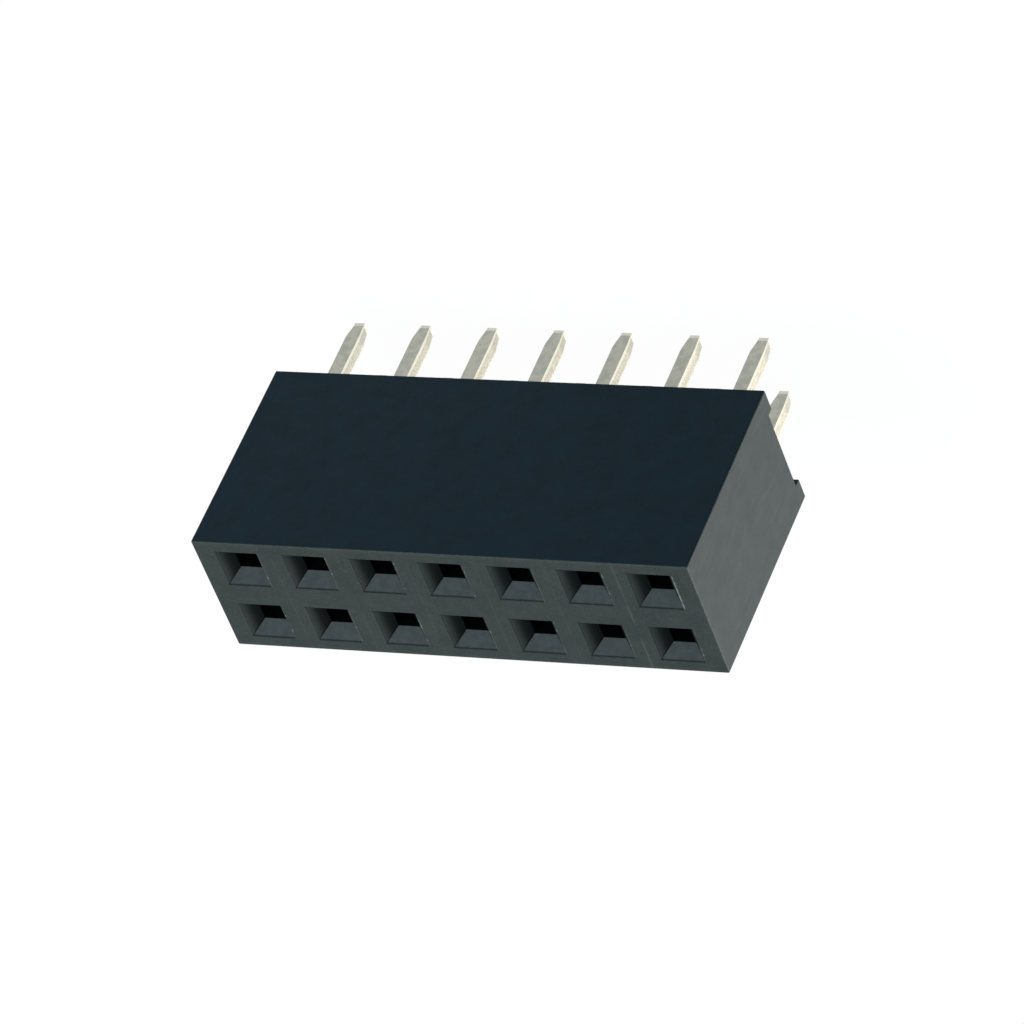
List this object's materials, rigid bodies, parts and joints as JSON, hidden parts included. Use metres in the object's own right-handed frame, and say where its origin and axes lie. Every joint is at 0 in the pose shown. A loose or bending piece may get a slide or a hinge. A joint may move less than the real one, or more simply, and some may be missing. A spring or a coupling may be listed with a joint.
{
  "type": "socket header",
  "caption": "Straight board-mount socket header: black moulded housing with rows of funnelled square sockets, standoff ribs below, and forked terminals with square tails.",
  "frame": {"origin": "centre of the tail pattern, in the plane of the standoff feet, which is the board's surface", "axes": "+X along the rows, +Y across them, +Z out of the mating face; the tails run along -Z"},
  "size_m": [0.0184, 0.005, 0.0115],
  "materials": {
    "housing_plastic": "black glass-filled moulding, fine satin texture",
    "plated_terminal": "bright to satin tin plating over copper alloy"
  },
  "bodies": {
    "root": {"housing": "housing_plastic", "terminal_row1_column1": "plated_terminal", "terminal_row1_column2": "plated_terminal", "terminal_row1_column3": "plated_terminal", "terminal_row1_column4": "plated_terminal", "terminal_row1_column5": "plated_terminal", "terminal_row1_column6": "plated_terminal", "terminal_row1_column7": "plated_terminal", "terminal_row2_column1": "plated_terminal", "terminal_row2_column2": "plated_terminal", "terminal_row2_column3": "plated_terminal", "terminal_row2_column4": "plated_terminal", "terminal_row2_column5": "plated_terminal", "terminal_row2_column6": "plated_terminal", "terminal_row2_column7": "plated_terminal"}
  },
  "joints": []
}
